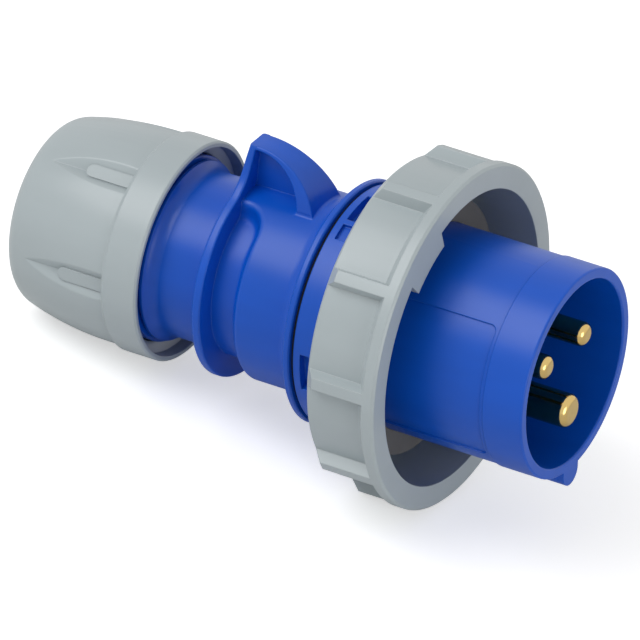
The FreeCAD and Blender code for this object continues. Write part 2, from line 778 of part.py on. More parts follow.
side_z = d.body_r - d.fin_foot_sink / 2
high = fin_top + d.slack
sides = new_sketch(housing, "fin_side_profile", "YZ_Plane", offset=-(fin_foot_x - d.slack))
for sign in (1, -1):
    outline(sides, [
        (fin_half(high) * sign, high),
        (fin_half(side_z) * sign, side_z),
        (d.fin_foot_w * sign, side_z),
        (d.fin_foot_w * sign, high),
    ])
shaped = feature(housing, "Pocket", "fin_sides", sides, Length=d.disc_x - fin_foot_x + d.slack)


def along_strap(edge):
    """A long edge of the strap, above its foot."""
    bounds = edge.BoundBox
    long_way = bounds.XLength > d.strap_t.value and bounds.YLength < bounds.XLength
    rises = bounds.ZMax > strap_foot_z.value + 2 * d.strap_foot_t.value
    return long_way and rises and bounds.XMax > -d.disc_x.value


def round_foot(edge):
    """An edge where the strap's foot meets the barrel."""
    points = edge.discretize(Number=5)
    level = all(abs(math.hypot(point.y, point.z) - d.body_r.value) < 0.02 for point in points)
    inside = all(-inner_foot_x.value - 1 < point.x < -fin_foot_x.value + 0.01 for point in points)
    return level and inside and points[0].z > 0


strap_edges = soften(housing, "strap_edges", shaped, d.strap_round, along_strap)
soften(housing, "strap_foot", strap_edges, d.foot_round, round_foot)
# Grip disc: a plate whose upper part leans forward, cut to an outline that sweeps up into the fin
lean_z = d.body_r - d.fin_lean_drop
disc_back_x = d.disc_x + d.disc_t
leaned_x = d.disc_x - d.fin_lean_front
lean_len = fin_top - lean_z
plate_side = new_sketch(housing, "disc_side_profile", "XZ_Plane")
outline(plate_side, [
    (-d.disc_x, -(disc_r + d.slack)),
    (-d.disc_x, lean_z),
    (-leaned_x, fin_top),
    (-(disc_back_x - d.fin_lean_back), fin_top),
    (-disc_back_x, lean_z),
    (-disc_back_x, -(disc_r + d.slack)),
], {1: -sweep_r(lean_len, d.fin_lean_front), 3: sweep_r(lean_len, d.fin_lean_back)})
feature(housing, "Pad", "disc_plate", plate_side, Length=(disc_r + d.slack) * 2, Midplane=True)
# The sweep on each side is the one arc that touches both the round edge and the fin's straight side
side_len = square_root(slope * slope + 1)
touch_y = fin_half(0) + d.ogee_r * side_len
centre_reach = disc_r + d.ogee_r
high_part = square_root(centre_reach * centre_reach * side_len * side_len - touch_y * touch_y)
ogee_z = (touch_y * slope + high_part) / (side_len * side_len)
ogee_y = touch_y - slope * ogee_z
round_y = ogee_y * disc_r / centre_reach
round_z = ogee_z * disc_r / centre_reach
straight_y = ogee_y - d.ogee_r / side_len
straight_z = ogee_z - d.ogee_r * slope / side_len
disc = new_sketch(housing, "disc_profile", "YZ_Plane", offset=-leaned_x)
outline(disc, [
    (-round_y, round_z),
    (0, -disc_r),
    (round_y, round_z),
    (straight_y, straight_z),
    (fin_half(fin_top), fin_top),
    (-fin_half(fin_top), fin_top),
    (-straight_y, straight_z),
], {0: disc_r, 1: disc_r, 2: -d.ogee_r, 6: -d.ogee_r})
outline(disc, [
    (-(disc_r + d.fin_top_w), -(disc_r + d.fin_top_w)),
    (disc_r + d.fin_top_w, -(disc_r + d.fin_top_w)),
    (disc_r + d.fin_top_w, high),
    (-(disc_r + d.fin_top_w), high),
])
grip = feature(housing, "Pocket", "disc_outline", disc, Length=disc_back_x - leaned_x + d.slack)


def on_outline(edge, behind):
    """An edge of the disc's outline, on its front or behind, and not one of the root or the strap."""
    bounds = edge.BoundBox
    across = max(bounds.YLength, bounds.ZLength) < bounds.XLength
    axis_gap = min(math.hypot(point.Y, point.Z) for point in edge.Vertexes)
    on_top = bounds.ZMin > fin_top.value - 0.01
    if across or on_top or axis_gap < (d.body_r + d.slack).value:
        return False
    if behind:
        leaned_back = disc_back_x.value - d.fin_lean_back.value
        return -disc_back_x.value - 0.01 < bounds.XMin and bounds.XMax < -leaned_back + 0.01
    below_strap = bounds.ZMin < (fin_top - d.strap_t).value - 0.01
    return -d.disc_x.value - 0.01 < bounds.XMin and bounds.XMax < -leaned_x.value + 0.01 and below_strap


disc_back = soften(housing, "disc_back_edge", grip, d.disc_back_round, lambda edge: on_outline(edge, True))
soften(housing, "disc_front_edge", disc_back, d.disc_front_round, lambda edge: on_outline(edge, False))
web_foot_x = fin_foot_x + d.strap_foot_t / 2
web = new_sketch(housing, "web_profile", "XZ_Plane")
outline(web, [
    (-disc_middle, d.channel_r),
    (-disc_middle, fin_top - d.strap_t / 2),
    (-fin_bend_x, fin_top - d.strap_t / 2),
    (-web_foot_x, strap_foot_z),
    (-web_foot_x, d.channel_r),
], {2: -sweep_r(fin_bend_x - web_foot_x, fin_top - d.strap_t / 2 - strap_foot_z)})
feature(housing, "Pad", "fin_web", web, Length=d.web_t, Midplane=True)
# The hollow: wide round the terminals, narrower through the neck
hollow = spin(housing, "hollow", [
    (-(spigot_x - d.slack), 0),
    (-(d.housing_end_x + d.slack), 0),
    (-(d.housing_end_x + d.slack), d.tail_bore),
    (-channel_x, d.tail_bore),
    (-(channel_x - root_sweep), d.body_r - d.body_wall),
    (-flare_end_x, d.body_r - d.body_wall),
    (-flare_x, d.spigot_bore),
    (-(spigot_x - d.slack), d.spigot_bore),
], cut=True)
housing.Tip = hollow

# Gland nut: collar, fluted barrel, cone that closes the clamp, hole for the cable
nut = new_body("gland_nut")
barrel_x = d.nut_collar_end_x + d.nut_edge
bore_r = d.thread_r + d.loose
spin(nut, "nut_blank", [
    (-d.nut_x, d.nut_mouth_r),
    (-(d.nut_x + d.nut_mouth_len), d.nut_mouth_r),
    (-(d.nut_x + d.nut_mouth_len + d.nut_mouth_cone), bore_r),
    (-d.nut_thread_end_x, bore_r),
    (-d.nut_thread_end_x, d.nut_throat_r),
    (-d.nut_cone_x, d.nut_throat_r),
    (-d.nut_seat_x, d.nut_cone_r),
    (-d.nut_seat_x, d.nut_hole),
    (-d.nut_end_x, d.nut_hole),
    (-d.nut_end_x, d.nut_face_r),
    (-d.nut_tail_x, d.nut_tail_r),
    (-barrel_x, d.nut_barrel_r),
    (-d.nut_collar_end_x, d.nut_collar_r - d.nut_edge),
    (-(d.nut_collar_end_x - d.nut_edge), d.nut_collar_r),
    (-(d.nut_x + d.nut_edge), d.nut_collar_r),
    (-d.nut_x, d.nut_collar_r - d.nut_edge),
], {9: -d.nut_corner_r, 10: -d.nut_bulge_r})
# Each flute is a straight V groove. The barrel falls away behind it, so the groove runs out in a
# leaf's point.
vee = new_sketch(
    nut, "vee_profile", "YZ_Plane", offset=-d.nut_tail_x, tilt=d.flute_middle, tilt_axis=(0, 0, 1)
)
vee_rise = d.nut_barrel_r - d.flute_valley_r
outline(vee, [
    (d.flute_valley_r, 0),
    (d.flute_valley_r + vee_rise * 2, -d.flute_w),
    (d.flute_valley_r + vee_rise * 2, d.flute_w),
])
flute = feature(nut, "Pocket", "flute", vee, Length=d.nut_tail_x - barrel_x, Reversed=True)
tab_x = d.nut_collar_end_x + d.tab_len
tab_root_x = d.nut_collar_end_x - d.nut_edge
tab_sketch = new_sketch(nut, "tab_profile", "XY_Plane", offset=d.tab_r, tilt=d.flute_middle - 90)
outline(tab_sketch, [
    (-tab_root_x, -d.tab_w / 2),
    (-tab_root_x, d.tab_w / 2),
    (-tab_x, d.tab_w / 2),
    (-tab_x, -d.tab_w / 2),
], {2: d.tab_end_r})
tab = feature(nut, "Pad", "tab", tab_sketch, Length=d.tab_r - d.flute_valley_r, Reversed=True)
flutes = around(nut, "flutes", [flute, tab], d.flute_count)


def flute_rim(edge):
    """A curved edge between a flute and the barrel, from the collar to the leaf's point."""
    bounds = edge.BoundBox
    curved = edge.Curve.TypeId == "Part::GeomBSplineCurve"
    return curved and bounds.XMax < -d.nut_collar_end_x.value + 0.01 and bounds.XLength > 2 * d.flute_w.value


nut.Tip = soften(nut, "flute_rims", flutes, d.flute_round, flute_rim)

# Clamp cage: a ring on the housing's end with claws that the nut's cone bends in on the cable seal
cage = new_body("clamp_cage")
cage_base_x = d.housing_end_x + d.cage_base_t
spin(cage, "cage_blank", [
    (-(d.housing_end_x - d.cage_spigot_len), d.cage_bore),
    (-d.cage_end_x, d.cage_bore),
    (-d.cage_end_x, d.cage_tip_r),
    (-cage_base_x, d.cage_r),
    (-d.housing_end_x, d.cage_r),
    (-d.housing_end_x, d.tail_bore - d.running),
    (-(d.housing_end_x - d.cage_spigot_len), d.tail_bore - d.running),
])
gap = new_sketch(cage, "claw_gap_profile", "XZ_Plane")
outline(gap, [
    (-(cage_base_x + d.claw_slot_w), d.cage_bore - d.slack),
    (-(d.cage_end_x + d.slack), d.cage_bore - d.slack),
    (-(d.cage_end_x + d.slack), d.cage_r + d.slack),
    (-(cage_base_x + d.claw_slot_w), d.cage_r + d.slack),
])
claw_gap = feature(cage, "Pocket", "claw_gap", gap, Length=d.claw_slot_w, Midplane=True)
around(cage, "claw_gaps", [claw_gap], d.claw_count)

# Rubber seal that grips the cable, and the slip washer that the nut carries
cable_seal = new_body("cable_seal")
seal_end_x = d.cage_end_x + d.slack
spin(cable_seal, "cable_seal_turned", [
    (-d.seal_front_x, d.cable_r),
    (-seal_end_x, d.cable_r),
    (-seal_end_x, d.cage_bore - d.running),
    (-d.seal_front_x, d.cage_bore - d.running),
])
washer = new_body("gland_washer")
washer_x = d.nut_seat_x - d.loose
spin(washer, "washer_turned", [
    (-(washer_x - d.washer_t), d.nut_hole + d.loose),
    (-washer_x, d.nut_hole + d.loose),
    (-washer_x, d.nut_cone_r - d.loose),
    (-(washer_x - d.washer_t), d.nut_cone_r - d.loose),
])

doc.recompute()

# Laying the plug down: the nut's barrel and the two lowest ribs touch the table
rib_low = (d.ring_r * cosine(rib_pitch / 2 - d.rib_top_angle / 2)).value
rib_x = -rib_end_x.value
chord_a = Vector(-d.nut_tail_x.value, d.nut_tail_r.value, 0)
chord_b = Vector(-barrel_x.value, d.nut_barrel_r.value, 0)
chord = chord_b - chord_a
down = Vector(chord.y, -chord.x, 0).normalize()
drop = math.sqrt(d.nut_bulge_r.value ** 2 - (chord.Length / 2) ** 2)
bulge_centre = (chord_a + chord_b) * 0.5 + down * drop
reach = Vector(rib_x, rib_low, 0) - bulge_centre
tilt = math.atan2(reach.y, reach.x) - math.asin(d.nut_bulge_r.value / reach.Length)
laid = Turn(Vector(0, 1, 0), -math.degrees(tilt)) * Turn(Vector(1, 0, 0), d.rest_roll.value)
lift = -(rib_x * math.sin(tilt) - rib_low * math.cos(tilt))
rest = Place(Vector(0, 0, lift), laid)

pieces = [sleeve, carrier, retainer, ring, gasket, seal, housing, nut, cage, cable_seal, washer]
seats = [(body, Place()) for body in pieces] + contact_bodies
pieces = [body for body, seat in seats]


def lay(place):
    for body, seat in seats:
        body.Placement = place * seat
    doc.recompute()


# The origin is on the table, under the middle of the plug's box
lay(rest)
box = FreeCAD.BoundBox()
for body in pieces:
    box.add(body.Shape.optimalBoundingBox(True, False))
rest.Base = rest.Base - Vector(box.Center.x, box.Center.y, 0)
lay(rest)

faults = [item.Label for item in doc.Objects if "Invalid" in item.State or "Error" in item.State]
faults += [body.Label for body in pieces if body.Shape.isNull() or not body.Shape.isValid()]
faults += [body.Label for body in pieces if len(body.Shape.Solids) != 1]
if faults:
    raise RuntimeError("not built soundly: " + ", ".join(faults))

os.makedirs("parts", exist_ok=True)
for body in pieces:
    body.Shape.exportStep("parts/" + body.Label + ".step")
    print(body.Label, "volume", round(body.Shape.Volume, 1), "faces", len(body.Shape.Faces))
print("tilt", round(math.degrees(tilt), 3), "mouth's middle at", [round(v, 3) for v in rest.Base])
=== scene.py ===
import json
import math
import bpy
from mathutils import Matrix, Vector

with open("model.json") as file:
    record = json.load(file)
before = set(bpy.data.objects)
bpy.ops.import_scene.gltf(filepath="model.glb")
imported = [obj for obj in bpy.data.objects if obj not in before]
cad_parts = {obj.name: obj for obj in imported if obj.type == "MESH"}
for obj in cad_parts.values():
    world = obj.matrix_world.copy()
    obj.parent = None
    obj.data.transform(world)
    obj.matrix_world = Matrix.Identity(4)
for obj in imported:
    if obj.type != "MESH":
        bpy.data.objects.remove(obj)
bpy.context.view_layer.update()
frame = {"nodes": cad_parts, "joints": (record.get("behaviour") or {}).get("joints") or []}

# %% [markdown]
# # An industrial pin and sleeve plug
#
# The plug lies on a pale table: a blue housing with a thumb fin, a grey locking ring that turns round it, a
# grey gland nut at the cable end, and three brass pins inside the blue sleeve. Its solid pieces come from
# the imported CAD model. They could be rebuilt here from scratch, but then a pin or a rib might drift from
# where the real one sits, so this lesson keeps them and gives them what CAD lacks: edges that catch the
# light, moulded and turned surfaces, a screw thread, and a studio.

# %% What the frame holds
MM = 0.001

nodes = frame["nodes"]

# %% [markdown]
# ## The plug's own axis
#
# Threads, turned marks and moulding lines all run round or along the plug's axis, which is tilted because the
# plug leans on its ring. That axis could be typed in again, but the ring's joint already states it. So the
# direction is read from the joint, and x = 0 is put at the sleeve's mouth, as on the drawing of the plug.

# %% Axis and mouth
ring_joint = next(joint for joint in frame["joints"] if joint["name"] == "ring_turn")
axis = Vector(ring_joint["axis"]).normalized()
on_axis = Vector(ring_joint["pos_m"])
reach = max((vertex.co - on_axis).dot(axis) for vertex in nodes["front_sleeve"].data.vertices)
mouth = on_axis + axis * reach
side = Vector((0, 1, 0))
above = axis.cross(side).normalized()
print("mouth in mm:", [round(v / MM, 2) for v in mouth], "axis:", [round(v, 3) for v in axis])

# %% [markdown]
# ## The camera
#
# The photograph was taken from far away with a long lens, so the near and the far rim of the ring look almost
# equally wide. A short lens close by would swell the ring. So the camera stands over three metres off with a
# 900 mm lens, looks down on the pins' side, and is rolled a little, because the plug in the picture climbs
# to the left more than it does on a table.

# %% Camera
CAMERA_AZIMUTH = math.radians(22.479)
CAMERA_ELEVATION = math.radians(31.234)
CAMERA_ROLL = math.radians(-15.354)
CAMERA_DISTANCE = 3.1528
CAMERA_AIM = Vector((0.00428, -0.003854, 0.026929))
LENS = 900
SENSOR_WIDTH = 36
FARTHEST_SEEN = 20

back = Vector((
    math.sin(CAMERA_AZIMUTH) * math.cos(CAMERA_ELEVATION),
    -math.cos(CAMERA_AZIMUTH) * math.cos(CAMERA_ELEVATION),
    math.sin(CAMERA_ELEVATION),
))
camera = bpy.data.objects.new("camera", bpy.data.cameras.new("camera"))
bpy.context.scene.collection.objects.link(camera)
camera.data.lens = LENS
camera.data.sensor_width = SENSOR_WIDTH
camera.data.clip_end = FARTHEST_SEEN
level = back.to_track_quat("Z", "Y")
camera.rotation_mode = "QUATERNION"
camera.rotation_quaternion = level @ Matrix.Rotation(-CAMERA_ROLL, 3, "Z").to_quaternion()
camera.location = CAMERA_AIM + back * CAMERA_DISTANCE
bpy.context.scene.camera = camera
print("camera at", [round(v, 3) for v in camera.location])

# %% [markdown]
# ## The lamps
#
# The plug was lit by large soft lamps from above and from the left, on white. One small lamp would give hard
# shadows and burnt highlights. So a wide panel hangs overhead on the left, a weaker one fills the right side,
# and the world adds an even grey light. The panels' strengths add up to a level at which a surface shows the
# colour that its material has.

# %% Lamps


def panel(name, direction, distance, size, power):
    """A square soft lamp, that far away in that direction, facing the plug."""
    lamp = bpy.data.lights.new(name, "AREA")
    lamp.shape = "SQUARE"
    lamp.size = size
    lamp.energy = power
    holder = bpy.data.objects.new(name, lamp)
    toward = Vector(direction).normalized()
    holder.location = toward * distance
    holder.rotation_mode = "QUATERNION"
    holder.rotation_quaternion = toward.to_track_quat("Z", "Y")
    bpy.context.scene.collection.objects.link(holder)
    return holder


key = panel("key_panel", direction=(-0.46, -0.47, 0.76), distance=1.4, size=0.95, power=9.8)
fill = panel("fill_panel", direction=(0.93, -0.3, 0.22), distance=1.6, size=0.9, power=6.5)
print("lamps:", key.name, fill.name)

# %% [markdown]
# ## Building blocks for shaders
#
# The world, the floor and every finish below are small webs of nodes. Writing each link by hand makes long
# cells in which mistakes hide. So one helper feeds a node's inputs, whether with a value or with a link, and
# another adds a node with its settings and feeds it at once. The third opens a material to work on.

# %% Node helpers
WHITE = (1, 1, 1, 1)


def feed(tree, node, inputs):
    """Fills those inputs of a node, given by name or number. A socket is linked, anything else is set."""
    for name, value in inputs.items():
        if isinstance(value, bpy.types.NodeSocket):
            tree.links.new(value, node.inputs[name])
        else:
            node.inputs[name].default_value = value


def add(tree, kind, inputs=None, **settings):
    """A new node of that kind, with those settings, and then with those inputs."""
    made = tree.nodes.new("ShaderNode" + kind)
    for name, value in settings.items():
        setattr(made, name, value)
    feed(tree, made, inputs or {})
    return made


def finish(name):
    """A new material. Returns it, its tree and its shader."""
    made = bpy.data.materials.new(name)
    made.use_nodes = True
    return made, made.node_tree, made.node_tree.nodes["Principled BSDF"]


print("helpers:", feed.__name__, add.__name__, finish.__name__)

# %% [markdown]
# ## Sums, ranges and bumps
#
# Three kinds of node come up again and again: a sum, a stretch of one range of values on to another, and a
# bump that turns a height into a bent surface. Each could be written out every time with all its inputs. So
# three more helpers keep them on a line, and hand back the socket to link on.

# %% Helpers for sums, ranges and bumps


def calc(tree, operation, *values):
    """The result of a sum on those values."""
    return add(tree, "Math", dict(enumerate(values)), operation=operation).outputs[0]


def remap(tree, value, source, target, **settings):
    """That value, carried over from one range to another."""
    made = add(tree, "MapRange", {
        "Value": value,
        "From Min": source[0],
        "From Max": source[1],
        "To Min": target[0],
        "To Max": target[1],
    }, **settings)
    return made.outputs["Result"]


def bump(tree, height, depth, normal=None):
    """The surface's direction, bent by a height of that depth in metres, on top of an earlier direction."""
    made = add(tree, "Bump", {"Height": height, "Distance": depth, "Strength": 1})
    if normal is not None:
        feed(tree, made, {"Normal": normal})
    return made.outputs["Normal"]


print("helpers:", calc.__name__, remap.__name__, bump.__name__)

# %% [markdown]
# ## The world
#
# The background is plain white. A brighter lamp would also turn it white, but it would bleach the plug. So
# only what the camera sees directly, or sees mirrored, is white, and the light that the world gives off stays
# weaker. Light Path tells the two apart.

# %% World
WORLD_LIGHT = 0.5

world = bpy.data.worlds.new("studio")
bpy.context.scene.world = world
world.use_nodes = True
world_tree = world.node_tree
world_tree.nodes.clear()
path = add(world_tree, "LightPath")
direct = calc(world_tree, "MAXIMUM", path.outputs["Is Camera Ray"], path.outputs["Is Transmission Ray"])
seen = calc(world_tree, "MAXIMUM", direct, path.outputs["Is Glossy Ray"])
glow = remap(world_tree, seen, (0, 1), (WORLD_LIGHT, 1))
sky = add(world_tree, "Background", {"Color": WHITE, "Strength": glow})
add(world_tree, "OutputWorld", {"Surface": sky.outputs["Background"]})
bpy.context.scene.view_settings.view_transform = "Standard"
print("world light:", WORLD_LIGHT)

# %% [markdown]
# ## The floor
#
# The table keeps a soft shadow under the plug and runs out into white. A floor that only catches shadows
# would do so too, but it would throw no light back on the plug's underside. So the floor is a wide pale
# diffuse sheet, lifted a little in the camera's eyes, which still darkens under the plug.

# %% Floor
FLOOR_HALF = 3.0
FLOOR_GAP = 0.05 * MM
FLOOR_LIFT = 0.5
FLOOR_COLOUR = (0.82, 0.82, 0.82, 1)
FLOOR_ROUGHNESS = 0.95
FLOOR_GLOSS = 0.1

corners = [(x * FLOOR_HALF, y * FLOOR_HALF, 0) for x, y in ((-1, -1), (1, -1), (1, 1), (-1, 1))]
floor_mesh = bpy.data.meshes.new("floor")
floor_mesh.from_pydata(corners, [], [(0, 1, 2, 3)])
floor = bpy.data.objects.new("floor", floor_mesh)
floor.location.z = -FLOOR_GAP
bpy.context.scene.collection.objects.link(floor)
sheet, sheet_tree, sheet_shader = finish("pale_floor")
sheet_path = add(sheet_tree, "LightPath")
lift = calc(sheet_tree, "MULTIPLY", sheet_path.outputs["Is Camera Ray"], FLOOR_LIFT)
feed(sheet_tree, sheet_shader, {
    "Base Color": FLOOR_COLOUR,
    "Roughness": FLOOR_ROUGHNESS,
    "Specular IOR Level": FLOOR_GLOSS,
    "Emission Color": WHITE,
    "Emission Strength": lift,
})
floor_mesh.materials.append(sheet)
print("floor:", floor.name, "half side in m:", FLOOR_HALF)

# %% [markdown]
# ## Shared effects and colours
#
# The plug's finishes share grain, edges with a painted highlight and turning marks. Each material could hold
# its own copy, and each would then have to be mended when one changes. A node group is Blender's way to share
# one effect: a small web with named inputs and outputs. One helper opens such a group, and another turns a
# colour that was picked on a screen into the linear values that Blender works with. Such a colour ends with a
# 1, for opaque.

# %% Group and colour helpers


def group(name, inputs, outputs):
    """A node group with those sockets. Returns its tree, the sockets of its input, and its output node."""
    tree = bpy.data.node_groups.new(name, "ShaderNodeTree")
    for label, kind, value in inputs:
        socket = tree.interface.new_socket(label, in_out="INPUT", socket_type="NodeSocket" + kind)
        socket.default_value = value
    for label, kind in outputs:
        tree.interface.new_socket(label, in_out="OUTPUT", socket_type="NodeSocket" + kind)
    entry = tree.nodes.new("NodeGroupInput")
    leave = tree.nodes.new("NodeGroupOutput")
    return tree, entry.outputs, leave


def linear(*screen):
    """A colour as picked on a screen, red, green and blue from 0 to 255, as Blender's linear values."""
    shares = [value / 255 for value in screen]
    return tuple(((v + 0.055) / 1.055) ** 2.4 if v > 0.04045 else v / 12.92 for v in shares) + (1,)


print("helpers:", group.__name__, linear.__name__, "such as", [round(v, 3) for v in linear(0, 128, 255)])

# %% [markdown]
# ## Places along and round the plug
#
# Turned rings on a pin and flow lines in a moulding follow the plug's axis and not the room's axes. An
# unwrapped picture map could carry them, but it would need seams, and the solids have none. So this group
# works out how far along the axis each point of the surface lies, in millimetres, and how far round it, in
# turns. It also hands out the point itself, in millimetres along, across and above the axis.

# %% Group: place on the plug
spot_tree, _, spot_out = group(
    "place_on_plug",
    [],
    [("Along", "Float"), ("Round", "Float"), ("Point", "Vector")],
)
spot = add(spot_tree, "TexCoord").outputs["Object"]
from_mouth = add(spot_tree, "VectorMath", {0: spot, 1: tuple(mouth)}, operation="SUBTRACT").outputs[0]
along, across, upward = [
    add(spot_tree, "VectorMath", {
        0: from_mouth,
        1: tuple(direction / MM),
    }, operation="DOT_PRODUCT").outputs["Value"]
    for direction in (axis, side, above)
]
turns = calc(spot_tree, "DIVIDE", calc(spot_tree, "ARCTAN2", upward, across), math.tau)
straight = add(spot_tree, "CombineXYZ", {0: along, 1: across, 2: upward})
feed(spot_tree, spot_out, {"Along": along, "Round": turns, "Point": straight.outputs[0]})
print("group:", spot_tree.name)

# %% [markdown]
# ## The skin of a moulding
#
# Plastic that was shot into a polished steel mould is not perfectly even. The tool leaves a grain of about
# two tenths of a millimetre, the melt leaves long pale and dark streaks, and hands leave duller patches. A
# flat colour would look like paint. Three noises of different sizes give these, and the group hands out the
# varied colour, the varied roughness and a height for the bump.

# %% Group: moulded skin
STREAKS_PER_MM = (0.03, 0.16, 0.16)
PATCHES_PER_MM = 0.09
STREAK_NOISE = (0.3, 0.7)
NOISE_MIDDLE = 0.5

skin_tree, skin_in, skin_out = group(
    "moulded_skin",
    [
        ("Colour", "Color", (0.5, 0.5, 0.5, 1)),
        ("Streaks", "Float", 0.05),
        ("Roughness", "Float", 0.4),
        ("Dull Patches", "Float", 0.08),
        ("Grain Size", "Float", 0.12),
    ],
    [("Colour", "Color"), ("Roughness", "Float"), ("Height", "Float")],
)
point = add(skin_tree, "Group", node_tree=spot_tree).outputs["Point"]
flow = add(skin_tree, "VectorMath", {0: point, 1: STREAKS_PER_MM}, operation="MULTIPLY")
streaks = add(skin_tree, "TexNoise", {"Vector": flow.outputs[0], "Scale": 1, "Detail": 3})
low_shade = calc(skin_tree, "SUBTRACT", 1, skin_in["Streaks"])
high_shade = calc(skin_tree, "ADD", 1, skin_in["Streaks"])
shade = remap(skin_tree, streaks.outputs["Fac"], STREAK_NOISE, (low_shade, high_shade))
tinted = add(skin_tree, "VectorMath", {0: skin_in["Colour"], "Scale": shade}, operation="SCALE")
patches = add(skin_tree, "TexNoise", {"Vector": point, "Scale": PATCHES_PER_MM, "Detail": 4})
centred = calc(skin_tree, "SUBTRACT", patches.outputs["Fac"], NOISE_MIDDLE)
uneven = calc(skin_tree, "MULTIPLY_ADD", centred, skin_in["Dull Patches"], skin_in["Roughness"])
grains_per_mm = calc(skin_tree, "DIVIDE", 1, skin_in["Grain Size"])
grain = add(skin_tree, "TexNoise", {"Vector": point, "Scale": grains_per_mm, "Detail": 2})
feed(skin_tree, skin_out, {
    "Colour": tinted.outputs[0],
    "Roughness": uneven,
    "Height": grain.outputs["Fac"],
})
print("group:", skin_tree.name)

# %% [markdown]
# ## Round edges with a painted highlight
#
# CAD edges are mathematically sharp, and such an edge never catches the light. The corners of real ribs and
# rims are a few tenths of a millimetre round. The Bevel modifier could cut them, but on fine curved faces its
# cuts run into each other. The Bevel node bends the light instead: it gives the direction that a rounded edge
# would have. Where that differs from the face's own, there is an edge, and there a paler shade of the colour
# is mixed in as a painted highlight.

# %% Group: round edges and painted highlight
EDGE_STARTS = 0.99
EDGE_FULL = 0.86
SPECKLES = 260
SPECKLE_NOISE = (0.35, 0.65)
LEAST_HIGHLIGHT = 0.5

edge_highlight_tree, edge_highlight_in, edge_highlight_out = group(
    "round_edges_painted_highlight",
    [
        ("Colour", "Color", (0.5, 0.5, 0.5, 1)),
        ("Edge Highlight", "Color", WHITE),
        ("Width", "Float", 0.3 * MM),
        ("Amount", "Float", 0.3),
    ],
    [("Colour", "Color"), ("Normal", "Vector")],
)
bent = add(edge_highlight_tree, "Bevel", {"Radius": edge_highlight_in["Width"]}, samples=8).outputs["Normal"]
flat = add(edge_highlight_tree, "NewGeometry").outputs["Normal"]
agree = add(edge_highlight_tree, "VectorMath", {0: bent, 1: flat}, operation="DOT_PRODUCT")
edge = remap(edge_highlight_tree, agree.outputs["Value"], (EDGE_STARTS, EDGE_FULL), (0, 1))
broken = add(edge_highlight_tree, "TexNoise", {"Scale": SPECKLES, "Detail": 3})
speckle = remap(edge_highlight_tree, broken.outputs["Fac"], SPECKLE_NOISE, (LEAST_HIGHLIGHT, 1))
painted_highlight = calc(edge_highlight_tree, "MULTIPLY", edge, speckle)
share = calc(edge_highlight_tree, "MULTIPLY", painted_highlight, edge_highlight_in["Amount"])
# A paler shade is mixed in on the edges: a painted highlight, broken up by speckles.
blend = add(edge_highlight_tree, "Mix", {
    "Factor": share,
    "A": edge_highlight_in["Colour"],
    "B": edge_highlight_in["Edge Highlight"],
}, data_type="RGBA")
feed(edge_highlight_tree, edge_highlight_out, {"Colour": blend.outputs["Result"], "Normal": bent})
print("group:", edge_highlight_tree.name)

# %% [markdown]
# ## The gland thread
#
# The nut screws on a coarse thread moulded on the housing's tail, and carries the same thread inside. The CAD
# keeps both as plain cylinders, since a helix would slow down every check. A helical ribbon could be modelled
# here, but there is no gap between the two cylinders for it to stand in. So the thread is a height that the
# shader reads: a wave that climbs one pitch for each turn round the axis, only where both the distance along
# the axis and the distance from it are those of the threaded stretch.

# %% Group: gland thread
THREAD_PITCH = 3.0
HALF_TURN = 0.5
VALLEY_ENDS = 0.08
CREST_STARTS = 0.4

thread_tree, thread_in, thread_out = group(
    "gland_thread",
    [("Start", "Float", -89.0), ("End", "Float", -100.0), ("Inner", "Float", 18.9), ("Outer", "Float", 19.6)],
    [("Height", "Float")],
)
thread_spot = add(thread_tree, "Group", node_tree=spot_tree).outputs
climb = calc(thread_tree, "DIVIDE", thread_spot["Along"], THREAD_PITCH)
helix = calc(thread_tree, "ADD", climb, thread_spot["Round"])
wave = calc(thread_tree, "PINGPONG", helix, HALF_TURN)
cut = remap(thread_tree, wave, (VALLEY_ENDS, CREST_STARTS), (0, 1), interpolation_type="SMOOTHSTEP")
off_axis = add(thread_tree, "VectorMath", {0: thread_spot["Point"], 1: (0, 1, 1)}, operation="MULTIPLY")
radius = add(thread_tree, "VectorMath", {0: off_axis.outputs[0]}, operation="LENGTH").outputs["Value"]
for measure, test, limit in (
    (thread_spot["Along"], "LESS_THAN", "Start"),
    (thread_spot["Along"], "GREATER_THAN", "End"),
    (radius, "GREATER_THAN", "Inner"),
    (radius, "LESS_THAN", "Outer"),
):
    cut = calc(thread_tree, "MULTIPLY", cut, calc(thread_tree, test, measure, thread_in[limit]))
feed(thread_tree, thread_out, {"Height": cut})
print("group:", thread_tree.name, "pitch in mm:", THREAD_PITCH)

# %% [markdown]
# ## Moulded plastic
#
# The plug has three plastics: blue for the housing and sleeve, pale grey for the ring and nut, and a dark one
# for the block that holds the pins. Each could have a web of nodes of its own, but they come out of the same
# kind of mould and differ in colour, gloss, streaks and grain. So one function builds all three from the
# groups.

# %% Plastic
MICRON = 0.001 * MM
PLASTIC_IOR = 1.5
THREAD_DEPTH = 0.8


